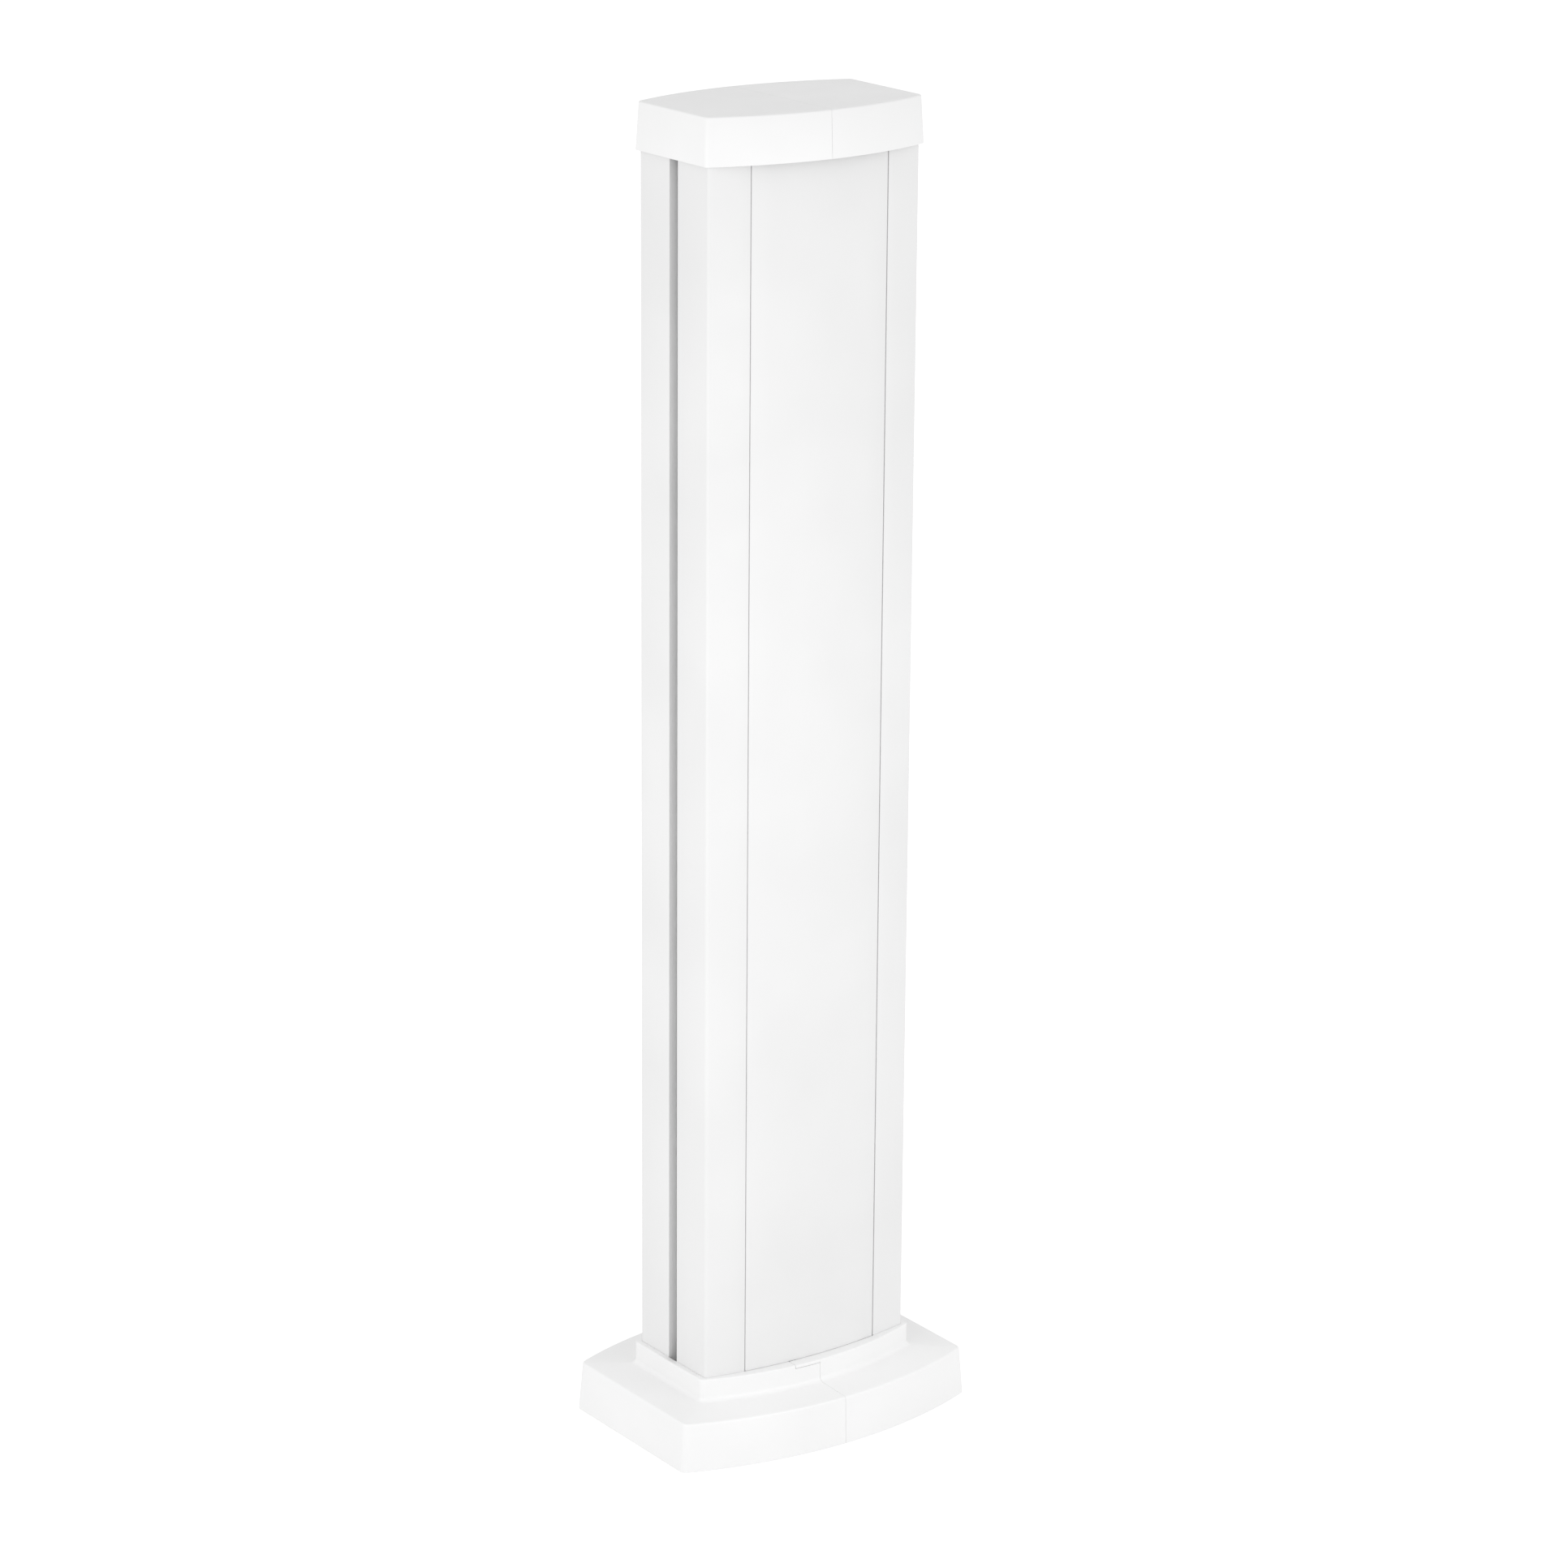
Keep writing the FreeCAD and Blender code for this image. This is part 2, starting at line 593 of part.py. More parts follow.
def countersunk_screws(name, level, upwards):
    """Four countersunk screws in the column's ports, their flat heads at the level."""
    head_height = "((screw_head_diameter - screw_diameter) / 2)"
    screws = []
    for order, (across, deep) in enumerate(port_places(), start=1):
        start = level if upwards else f"{level} - {head_height}"
        wide, narrow = "(screw_head_diameter - head_clearance) / 2", "screw_diameter / 2"
        head = primitive("Cone", f"{name}_head_{order}", (across, deep, start), Height=head_height,
                         Radius1=wide if upwards else narrow, Radius2=narrow if upwards else wide)
        low = level if upwards else f"{level} - screw_length"
        shank = primitive("Cylinder", f"{name}_shank_{order}", (across, deep, low),
                          Radius="screw_diameter / 2", Height="screw_length")
        socket_low = level if upwards else f"{level} - screw_socket_depth"
        socket = primitive("Prism", f"{name}_socket_{order}", (across, deep, socket_low),
                           Circumradius="screw_socket_size / sqrt(3)", Height="screw_socket_depth")
        whole = document.addObject("Part::MultiFuse", f"{name}_whole_{order}")
        whole.Shapes = [head, shank]
        screw = document.addObject("Part::Cut", f"{name}_screw_{order}")
        screw.Base, screw.Tool = whole, socket
        screws.append(screw)
    group = document.addObject("Part::Compound", name)
    group.Label = name
    group.Links = screws
    return group


def cap_insert():
    """The insert that closes the column's top and carries the rail of the cap halves."""
    body = new_body("cap_insert")
    pad(body, "plate", "XY_Plane", PROFILE_TOP, "insert_thickness",
        bowed(f"({COLUMN_SIDE} - insert_inset)", f"({COLUMN_EDGE} - insert_inset)",
              f"({COLUMN_CROWN} - insert_inset)", "column_corner_radius"))
    sketch = new_sketch(body, "screw_holes", "XY_Plane", PROFILE_TOP)
    for across, deep in port_places():
        draw_circle(sketch, across, deep, "screw_diameter + screw_hole_clearance")
    add_feature(body, "Pocket", sketch, "insert_thickness")
    round_or_chamfer(body, "Chamfer", "(screw_head_diameter - screw_diameter) / 2",
                     is_circle_at(INSERT_TOP, "screw_diameter + screw_hole_clearance"))
    pad(body, "neck", "XY_Plane", INSERT_TOP, "neck_height", around(RAIL_END, "neck_half_width"))
    pad(body, "head", "XY_Plane", f"{INSERT_TOP} + neck_height", "head_height",
        around(RAIL_END, "head_half_width"))
    driver = new_sketch(body, "driver_holes", "XY_Plane", INSERT_TOP)
    for across, deep in port_places():
        draw_circle(driver, across, deep, "screw_head_diameter + 2 * screw_hole_clearance")
    add_feature(body, "Pocket", driver, "neck_height + head_height")
    return body


def cut_other_half(body, hand, gap, reach, level, height):
    """Take away the half of a whole cap or trim that isn't on this hand, with half the split gap."""
    near, far = f"{hand} * {gap} / 2", f"{-hand} * {reach}"
    pocket(body, "split", "XY_Plane", level, height, rectangle(near, far, f"-{reach}", reach))


def cap_half(name, hand):
    """One half of the cap: a drafted skirt and flat top, with hooks for the insert's rail."""
    body = new_body(name)
    draft = "cap_height * tan(cap_draft_angle * 1deg)"
    loft(body, "skirt",
         (CAP_BOTTOM, bowed(CAP_SIDE, CAP_EDGE, CAP_CROWN, "cap_corner_radius")),
         ("total_height", bowed(f"({CAP_SIDE} - {draft})", f"({CAP_EDGE} - {draft})",
                                f"({CAP_CROWN} - {draft})", "cap_corner_radius")))
    step = f"({INSERT_TOP} + 2 * rail_clearance)"
    fit_side, fit_edge = f"({COLUMN_SIDE} + cap_fit)", f"({COLUMN_EDGE} + cap_edge_fit)"
    fit_crown = f"({CAP_CROWN} - cap_front_wall)"
    pocket(body, "lower_hollow", "XY_Plane", CAP_BOTTOM, f"{step} - {CAP_BOTTOM}",
           bowed(fit_side, fit_edge, fit_crown))
    pocket(body, "upper_hollow", "XY_Plane", CAP_BOTTOM, "cap_height - cap_top_thickness",
           bowed(f"({fit_side} - cap_step)", f"({fit_edge} - cap_step)", f"({fit_crown} - cap_step)"))
    reach = f"(2 * {CAP_SIDE})"
    cut_other_half(body, hand, "cap_split_gap", reach, CAP_BOTTOM, "cap_height")
    hook_end = f"({RAIL_END} - hook_end_inset)"
    start, length = "hook_start" if hand > 0 else f"-{hook_end}", f"{hook_end} - hook_start"
    near, root = "(neck_half_width + rail_clearance)", "(head_half_width + rail_clearance)"
    back = f"({root} + hook_thickness)"
    low, lip = f"({INSERT_TOP} + rail_clearance)", f"({INSERT_TOP} + neck_height - rail_clearance)"
    ceiling = "(total_height - cap_top_thickness)"
    weld = f"({ceiling} + weld_depth)"
    hook = [(near, low), (back, low), (back, weld), (root, weld), (root, lip), (near, lip)]
    pad(body, "hooks", "YZ_Plane", start, length, hook, [(f"-{deep}", level) for deep, level in hook])
    if hand > 0:
        add_cap_tongue(body, step, fit_crown, ceiling)
    return body


def add_cap_tongue(body, step, fit_crown, ceiling):
    """Tongues of the right half that lie inside the left one, behind its skirt and under its top."""
    outer = f"({fit_crown} - cap_tongue_clearance)"
    inner = f"({outer} - cap_tongue_thickness)"
    low, high = f"{CAP_BOTTOM} + cap_tongue_clearance", f"{step} - cap_tongue_clearance"
    under = f"{ceiling} - cap_tongue_clearance / 2"
    deep = "cap_tongue_half_depth"
    tongues = [rectangle(f"{face} * {inner}", f"{face} * {outer}", low, high) for face in (1, -1)]
    under_low = f"{under} - cap_tongue_thickness"
    tongues.append(rectangle(f"-{deep}", deep, under_low, under))
    length = "cap_tongue_length + cap_tongue_root"
    pad(body, "tongues", "YZ_Plane", "-cap_tongue_length", length, *tongues)
    root = f"({outer} + 2 * cap_tongue_clearance)"
    roots = [rectangle(f"{face} * {inner}", f"{face} * {root}", low, high) for face in (1, -1)]
    roots.append(rectangle(f"-{deep}", deep, under_low, f"{ceiling} + cap_tongue_clearance"))
    pad(body, "tongue_roots", "YZ_Plane", "cap_split_gap / 2", "cap_tongue_root - cap_split_gap / 2", *roots)


def base_trim_half(name, hand):
    """One half of the base trim: a wide drafted skirt with a collar that closes on the column."""
    body = new_body(name)
    side = f"({COLUMN_SIDE} + trim_side_reach)"
    edge, crown = f"({COLUMN_EDGE} + trim_edge_reach)", f"({COLUMN_CROWN} + trim_front_reach)"
    rim_side = f"({side} - trim_side_draft)"
    rim_edge, rim_crown = f"({edge} - trim_edge_draft)", f"({crown} - trim_front_draft)"
    loft(body, "skirt",
         ("trim_floor_gap", bowed(side, edge, crown, "trim_corner_radius")),
         ("trim_height", bowed(rim_side, rim_edge, rim_crown, "trim_corner_radius")))
    pad(body, "collar", "XY_Plane", "trim_height - weld_depth", "collar_height + weld_depth",
        bowed(COLLAR_SIDE, CAP_EDGE, CAP_CROWN, "cap_corner_radius"))
    round_or_chamfer(body, "Fillet", "foot_radius", is_level("trim_height", f"{COLLAR_SIDE} + foot_radius"))
    hollow_top = "(trim_height - trim_top_thickness)"
    pocket(body, "hollow", "XY_Plane", "trim_floor_gap", f"{hollow_top} - trim_floor_gap",
           bowed(f"({rim_side} - trim_wall)", f"({rim_edge} - trim_wall)", f"({rim_crown} - trim_wall)"))
    pocket(body, "collar_hollow", "XY_Plane", hollow_top, f"{COLLAR_TOP} - collar_flange - {hollow_top}",
           bowed(f"({COLUMN_SIDE} + cap_fit)", f"({COLUMN_EDGE} + cap_edge_fit)",
                 f"({CAP_CROWN} - cap_front_wall)"))
    pocket(body, "column_opening", "XY_Plane", hollow_top, f"{COLLAR_TOP} - {hollow_top}",
           bowed(f"({COLUMN_SIDE} + trim_column_gap)", f"({COLUMN_EDGE} + trim_column_gap)",
                 f"({COLUMN_CROWN} + trim_column_gap)"))
    reach = f"(2 * {side})"
    cut_other_half(body, hand, "cap_split_gap", reach, "trim_floor_gap", COLLAR_TOP)
    lap_low = f"({COLLAR_TOP} - lap_thickness)"
    if hand < 0:
        pocket(body, "lap_seat", "XY_Plane", f"{lap_low} - lap_gap", "lap_thickness + lap_gap + cut_overrun",
               rectangle("-(lap_length + lap_gap)", "lap_length", f"-{reach}", reach))
        return body
    near = f"({COLUMN_CROWN} + slide_clearance)"
    root = "lap_gap"
    laps = []
    for face in (1, -1):
        far_end, near_end = (bow_depth(COLLAR_RADIUS, CAP_CROWN, place) for place in ("lap_length", root))
        laps.append([("-lap_length", f"{face} * {near}"),
                     ("-lap_length", f"{face} * {far_end}", COLLAR_RADIUS),
                     (root, f"{face} * {near_end}"), (root, f"{face} * {near}")])
    pad(body, "laps", "XY_Plane", lap_low, "lap_thickness", *laps)
    return body


def earth_terminal():
    """The earth screw through the web, with its washer and nut."""
    head_face = f"(-{WEB})"
    shank = on_earth_axis("Cylinder", "earth_shank", head_face, "earth_screw_length",
                          Radius="earth_diameter / 2")
    head = on_earth_axis("Cylinder", "earth_head", f"{head_face} - earth_head_height",
                         "earth_head_height", Radius="earth_head_diameter / 2")
    screw = document.addObject("Part::MultiFuse", "earth_screw")
    screw.Shapes = [shank, head]
    washer = ring("earth_washer", "Cylinder", WEB, "earth_washer_thickness",
                  Radius="earth_washer_diameter / 2")
    nut = ring("earth_nut", "Prism", f"{WEB} + earth_washer_thickness", "earth_nut_height",
               Circumradius="earth_nut_across / sqrt(3)")
    for piece in (screw, washer, nut):
        piece.Label = piece.Name
    return [screw, washer, nut]


def on_earth_axis(kind, name, start, height, **sizes):
    """A primitive on the earth screw's axis, which runs through the web along Y."""
    piece = primitive(kind, name, ("-earth_place", start, "earth_level"), Height=height, **sizes)
    piece.Placement.Rotation = FreeCAD.Rotation(FreeCAD.Vector(1, 0, 0), -90)
    return piece


def ring(name, kind, start, height, **outer_size):
    """A washer or nut on the earth screw."""
    piece = document.addObject("Part::Cut", name)
    piece.Base = on_earth_axis(kind, f"{name}_outer", start, height, **outer_size)
    piece.Tool = on_earth_axis("Cylinder", f"{name}_hole", start, height, Radius="earth_hole_diameter / 2")
    return piece


def build():
    nodes = [column_profile(), floor_plate(), floor_pad(), cable_entry_grommet(), cap_insert()]
    for front_or_rear, face in (("front", -1), ("rear", 1)):
        nodes.append(cover(f"{front_or_rear}_cover", face))
        nodes.append(partition(f"{front_or_rear}_partition", face))
        for order, height_name in enumerate(("lower", "middle", "upper")):
            nodes.append(cable_clip(f"cable_clip_{front_or_rear}_{height_name}", face, order))
    nodes.append(countersunk_screws("plate_screws", PLATE_BOTTOM, True))
    nodes.append(countersunk_screws("insert_screws", INSERT_TOP, False))
    for hand_name, hand in (("left", -1), ("right", 1)):
        nodes.append(cap_half(f"cap_{hand_name}", hand))
        nodes.append(base_trim_half(f"base_trim_{hand_name}", hand))
    nodes += earth_terminal()
    return nodes


def check_and_export(nodes):
    """Refuse any failed object or bad shape, then write one STEP file for each node."""
    document.recompute()
    for item in document.Objects:
        if "Invalid" in item.State or "Error" in item.State:
            raise RuntimeError(f"{item.Name} failed: {item.State}")
    for node in nodes:
        if node.Shape.isNull() or not node.Shape.isValid():
            raise RuntimeError(f"{node.Label} has no valid shape")
    os.makedirs("parts", exist_ok=True)
    for node in nodes:
        node.Shape.exportStep(f"parts/{node.Label}.step")
        print(f"{node.Label}: {len(node.Shape.Solids)} solids, {node.Shape.Volume:.0f} mm3")


check_and_export(build())
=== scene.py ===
"""Looks of the service post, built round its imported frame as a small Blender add-on."""

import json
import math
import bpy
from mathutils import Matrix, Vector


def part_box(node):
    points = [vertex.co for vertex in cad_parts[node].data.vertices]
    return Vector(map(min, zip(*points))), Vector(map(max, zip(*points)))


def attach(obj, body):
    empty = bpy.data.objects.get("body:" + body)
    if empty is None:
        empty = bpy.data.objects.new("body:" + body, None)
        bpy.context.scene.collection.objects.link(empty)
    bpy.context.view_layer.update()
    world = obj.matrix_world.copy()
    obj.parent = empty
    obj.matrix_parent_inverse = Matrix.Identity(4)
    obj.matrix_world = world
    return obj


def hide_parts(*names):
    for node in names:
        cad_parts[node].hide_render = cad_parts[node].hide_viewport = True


bl_info = {
    "name": "Service Post Finisher",
    "version": (1, 0, 0),
    "blender": (4, 5, 0),
    "location": "View3D > Sidebar > Service Post",
    "description": "Builds the finished shells, materials and stage of a floor-standing service post",
    "category": "Object",
}

import bmesh
import bpy
from bpy.props import FloatProperty, FloatVectorProperty, IntProperty, PointerProperty
from mathutils import Quaternion, Vector

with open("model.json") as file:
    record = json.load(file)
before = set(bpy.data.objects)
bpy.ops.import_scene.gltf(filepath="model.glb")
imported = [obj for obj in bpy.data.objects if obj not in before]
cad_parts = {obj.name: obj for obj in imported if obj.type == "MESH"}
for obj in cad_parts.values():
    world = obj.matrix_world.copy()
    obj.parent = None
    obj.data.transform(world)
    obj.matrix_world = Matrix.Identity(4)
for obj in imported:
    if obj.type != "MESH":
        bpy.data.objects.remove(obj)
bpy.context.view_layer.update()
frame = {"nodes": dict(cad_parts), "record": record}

MM = 0.001
TINY = 1e-6
SHARP_ANGLE = math.radians(32)
EDGE_ANGLE = math.radians(40)
FLAT_ANGLE = math.radians(0.5)
CORNER_STEPS = 6
ROUND_STEPS = 5
SOFT_STEPS = 3
NOISE_BAND = (0.3, 0.7)
TONE_SCALE = 14.0
GLOSS_SCALE = 55.0
HANDS = {"left": -1, "right": 1}
FACES = {"front": -1, "rear": 1}
COLUMN_LOW, COLUMN_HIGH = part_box("column_profile")
COVER_LOW, COVER_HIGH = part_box("front_cover")
TRIM_LOW, TRIM_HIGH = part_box("base_trim_left")
CAP_LOW, CAP_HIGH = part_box("cap_left")


def length(name, value, about):
    """A length in metres that the sidebar shows."""
    return FloatProperty(name=name, default=value, min=0.0, subtype="DISTANCE", unit="LENGTH",
                         precision=5, description=about)


def colour(name, value, about):
    return FloatVectorProperty(name=name, default=value, size=3, min=0.0, max=1.0,
                               subtype="COLOR", description=about)


def share(name, value, about):
    return FloatProperty(name=name, default=value, min=0.0, max=1.0, subtype="FACTOR", description=about)


def angle(name, degrees, about):
    return FloatProperty(name=name, default=math.radians(degrees), subtype="ANGLE", unit="ROTATION",
                         description=about)


def strength(name, value, about):
    return FloatProperty(name=name, default=value, min=0.0, description=about)


def watts(name, value, about):
    return FloatProperty(name=name, default=value, min=0.0, unit="POWER", description=about)


class POST_PG_sizes(bpy.types.PropertyGroup):
    """Sizes of the shells that the frame's boxes don't give."""

    column_edge: length("Column edge", 29.1 * MM, "Half depth of the column at its narrow sides")
    column_corner: length("Column corner", 2.0 * MM, "Radius of the column's long corners")
    soft_edge: length("Soft edge", 0.35 * MM, "Radius on the long edges of column and covers")
    cap_edge: length("Cap edge", 30.2 * MM, "Half depth of the cap's lower edge at its narrow sides")
    cap_draft: length("Cap draft", 1.07 * MM, "How far the cap's skirt leans in from bottom to top")
    cap_corner: length("Cap corner", 3.0 * MM, "Radius of the corners of cap and collar")
    cap_round: length("Cap top round", 0.9 * MM, "Radius round the cap's flat top")
    cap_wall: length("Cap wall", 1.35 * MM, "Wall thickness of the cap")
    hook_near: length("Hook near", 14.0 * MM, "From the middle to the near end of a cap hook")
    hook_far: length("Hook far", 50.0 * MM, "From the middle to the far end of a cap hook")
    hook_thickness: length("Hook thickness", 2.0 * MM, "Thickness of a hook, its lip and the tongue")
    hook_lip: length("Hook lip", 4.0 * MM, "How far a hook's lip reaches under the rail")
    hook_clearance: length("Hook clearance", 0.3 * MM, "Clearance of hooks and tongue")
    rail_side: length("Rail side", 14.0 * MM, "Half depth of the insert's rail")
    rail_drop: length("Rail drop", 5.5 * MM, "From the rail's top down to the foot of its neck")
    tongue_reach: length("Tongue reach", 12.0 * MM, "How far the tongue passes the middle")
    tongue_root: length("Tongue root", 10.0 * MM, "How far the tongue runs into its own half")
    tongue_side: length("Tongue side", 28.0 * MM, "Half depth of the tongue")
    fine_round: length("Fine round", 0.2 * MM, "Radius of the fine lower and inner edges")
    split_gap: length("Split gap", 0.12 * MM, "Gap that shows between two halves")
    trim_edge: length("Trim edge", 48.5 * MM, "Half depth of the base trim at its narrow sides")
    trim_corner: length("Trim corner", 4.5 * MM, "Radius of the base trim's corners")
    rim_height: length("Rim height", 25.9 * MM, "Height of the rim of the base trim's skirt")
    rim_inset: length("Rim inset", 2.1 * MM, "How far the skirt leans in at the narrow sides")
    rim_crown_inset: length("Rim crown inset", 0.6 * MM, "How far the skirt leans in at its crowns")
    rim_edge_inset: length("Rim edge inset", 0.9 * MM, "How far the skirt leans in beside the corners")
    rim_round: length("Rim round", 1.0 * MM, "Radius of the skirt's rim")
    foot_height: length("Foot height", 26.7 * MM, "Height of the base's top where the collar starts")
    foot_round: length("Foot round", 2.6 * MM, "Radius of the hollow curve at the collar's foot")
    collar_side: length("Collar side", 65.3 * MM, "Half width of the collar")
    collar_round: length("Collar round", 0.5 * MM, "Radius round the collar's top edge")
    column_gap: length("Column gap", 0.05 * MM, "Gap that shows between the collar and the column")
    wall: length("Trim wall", 2.3 * MM, "Wall thickness of the base trim")
    flange: length("Flange", 2.0 * MM, "Thickness of the collar's flange round the column")
    inner_edge_inset: length("Inner edge inset", 0.5 * MM, "How much less deep the collar is inside")
    collar_inner_corner: length("Collar inner corner", 1.8 * MM, "Radius of the corners inside the collar")
    trim_inner_corner: length("Trim inner corner", 3.0 * MM, "Radius of the corners inside the skirt")
    lap_length: length("Lap length", 14.8 * MM, "How far the right half laps over the left")
    lap_thickness: length("Lap thickness", 1.6 * MM, "Thickness of the lap at the collar's top")
    lap_gap: length("Lap gap", 0.22 * MM, "Gap that shows round the lap")
    cover_rest: length("Cover rest", 0.02 * MM, "Height of a cover's lower end above the collar")
    bow_steps: IntProperty(name="Bow steps", default=40, min=4, description="Segments along a bowed side")


class POST_PG_finish(bpy.types.PropertyGroup):
    """Colours and gloss of the post's materials."""

    column_white: colour("Column white", (0.80, 0.80, 0.80), "Powder coat of the extruded column")
    cover_white: colour("Cover white", (0.80, 0.80, 0.80), "Extruded plastic of the covers")
    moulding_white: colour("Moulding white", (0.88, 0.88, 0.88), "Moulded plastic of cap and base trim")
    inner_grey: colour("Inner grey", (0.42, 0.43, 0.44), "Plastic pieces inside the column")
    zinc: colour("Zinc", (0.62, 0.64, 0.66), "Zinc-plated steel")
    brass: colour("Brass", (0.72, 0.52, 0.22), "Earth washer and nut")
    rubber: colour("Rubber", (0.025, 0.025, 0.027), "Floor pad and cable entry")
    gloss: share("Roughness", 0.46, "Roughness of the white pieces")


class POST_PG_stage(bpy.types.PropertyGroup):
    """The camera and the light round the post."""

    azimuth: angle("Azimuth", -35.4696, "Camera's turn from straight in front")
    elevation: angle("Elevation", 17.0503, "Camera's height above level")
    roll: angle("Roll", 0.4396, "Camera's roll")
    distance: length("Distance", 2.44992, "From the aim point to the camera")
    lens: FloatProperty(name="Lens", default=112.455, min=1.0, unit="CAMERA", description="Focal length")
    aim: FloatVectorProperty(name="Aim", default=(2.59 * MM, -3.43 * MM, 0.33579), size=3, precision=5,
                             subtype="TRANSLATION", unit="LENGTH", description="What the camera looks at")
    floor_size: length("Floor size", 30.0, "Half width of the floor")
    floor_tone: share("Floor tone", 0.35, "How much light the floor sends back")
    floor_light: strength("Floor light", 0.55, "Glow of the floor as a light")
    floor_seen: strength("Floor seen", 0.8, "Glow of the floor as it is seen")
    sky_light: strength("Sky light", 0.845, "Brightness of the even sky as a light")
    sky_seen: strength("Sky seen", 1.0, "Brightness of the even sky as it is seen")
    side_turn: angle("Side turn", -75.0, "Turn of the side softbox from straight in front")
    side_watts: watts("Side watts", 1.55, "Power of the side softbox")
    front_turn: angle("Front turn", 15.0, "Turn of the front softbox from straight in front")
    front_watts: watts("Front watts", 1.31, "Power of the front softbox")
    box_width: length("Softbox width", 0.62, "Width of a softbox")
    box_tall: length("Softbox height", 0.56, "Height of a softbox")
    box_reach: length("Softbox reach", 0.75, "From the post's axis to a softbox")
    box_level: length("Softbox level", 0.38, "Height of a softbox above the floor")
    box_aim: length("Softbox aim", 0.34, "Height on the axis that a softbox faces")


def sizes():
    return bpy.context.scene.post_sizes


def finish_settings():
    return bpy.context.scene.post_finish


# Materials

def new_material(name):
    material = bpy.data.materials.new(name)
    material.use_nodes = True
    return material, material.node_tree.nodes, material.node_tree.links


def object_noise(nodes, links, scale, stretch=(1.0, 1.0, 1.0), detail=2.0):
    """Noise that is fixed to the piece, finer with scale and drawn out by stretch."""
    place = nodes.new("ShaderNodeTexCoord")
    mapping = nodes.new("ShaderNodeMapping")
    mapping.inputs["Scale"].default_value = stretch
    noise = nodes.new("ShaderNodeTexNoise")
    noise.inputs["Scale"].default_value = scale
    noise.inputs["Detail"].default_value = detail
    links.new(place.outputs["Object"], mapping.inputs["Vector"])
    links.new(mapping.outputs["Vector"], noise.inputs["Vector"])
    return noise


def spread(nodes, links, source, low, high):
    """Map a noise's middle band onto the range from low to high."""
    ranger = nodes.new("ShaderNodeMapRange")
    ranger.inputs["From Min"].default_value, ranger.inputs["From Max"].default_value = NOISE_BAND
    ranger.inputs["To Min"].default_value = low
    ranger.inputs["To Max"].default_value = high
    links.new(source.outputs["Fac"], ranger.inputs["Value"])
    return ranger


def textured(name, base, roughness, grain, relief, stretch=(1.0, 1.0, 1.0), metallic=0.0, mottle=0.02,
             gloss_change=0.06):
    """A finish with fine relief, a slow change of tone and an uneven gloss."""
    material, nodes, links = new_material(name)
    shader = nodes["Principled BSDF"]
    shader.inputs["Metallic"].default_value = metallic
    tone = nodes.new("ShaderNodeMix")
    tone.data_type = "RGBA"
    tone.inputs[6].default_value = (*(channel * (1 - mottle) for channel in base), 1)
    tone.inputs[7].default_value = (*(min(1.0, channel * (1 + mottle)) for channel in base), 1)
    clouds = object_noise(nodes, links, TONE_SCALE)
    links.new(spread(nodes, links, clouds, 0.0, 1.0).outputs["Result"], tone.inputs[0])
    links.new(tone.outputs[2], shader.inputs["Base Color"])
    patches = object_noise(nodes, links, GLOSS_SCALE, stretch)
    gloss = spread(nodes, links, patches, roughness - gloss_change, roughness + gloss_change)
    links.new(gloss.outputs["Result"], shader.inputs["Roughness"])
    fine = object_noise(nodes, links, grain, stretch, 3.0)
    bump = nodes.new("ShaderNodeBump")
    bump.inputs["Strength"].default_value = 1.0
    bump.inputs["Distance"].default_value = relief
    links.new(fine.outputs["Fac"], bump.inputs["Height"])
    links.new(bump.outputs["Normal"], shader.inputs["Normal"])
    return material


def brighter_in_view(nodes, links, lighting, seen):
    """A strength for the studio's paper: one as a light, and another as the plain ground seen."""
    path = nodes.new("ShaderNodeLightPath")
    ranger = nodes.new("ShaderNodeMapRange")
    ranger.inputs["To Min"].default_value = lighting
    ranger.inputs["To Max"].default_value = seen
    links.new(path.outputs["Is Camera Ray"], ranger.inputs["Value"])
    return ranger


def make_materials():
    look = finish_settings()
    drawn = (1.0, 1.0, 0.02)
    moulded_gloss = look.gloss - 0.06
    return {
        "column_white": textured("powder_coat", look.column_white, look.gloss, 900.0, 0.02 * MM),
        "cover_white": textured("extruded_cover", look.cover_white, look.gloss, 700.0, 0.012 * MM, drawn),
        "moulding_white": textured("moulded_white", look.moulding_white, moulded_gloss, 1400.0, 0.012 * MM),
        "inner_grey": textured("inner_plastic", look.inner_grey, 0.5, 900.0, 0.02 * MM, mottle=0.04),
        "zinc_steel": textured("zinc_plate", look.zinc, 0.34, 500.0, 0.01 * MM, metallic=1.0, mottle=0.08,
                               gloss_change=0.12),
        "black_rubber": textured("black_rubber", look.rubber, 0.78, 1200.0, 0.03 * MM, mottle=0.1),
        "earth_brass": textured("earth_brass", look.brass, 0.3, 600.0, 0.01 * MM, (1.0, 1.0, 0.1), 1.0, 0.05),
    }


# Mesh helpers

def arc_from(bm, vert, centre, turn, steps):
    """Spin a vertex round an upright axis at the centre and return the arc's last vertex."""
    made = bmesh.ops.spin(bm, geom=[vert], cent=(centre[0], centre[1], vert.co.z), axis=(0, 0, 1),
                          angle=turn, steps=steps, use_duplicate=False)
    return next(item for item in made["geom_last"] if isinstance(item, bmesh.types.BMVert))


def line_to(bm, vert, across, deep):
    end = bm.verts.new((across, deep, vert.co.z))
    bm.edges.new((vert, end))
    return end


def bow_radius(half_width, edge, crown):
    return (half_width ** 2 + (crown - edge) ** 2) / (2 * (crown - edge))


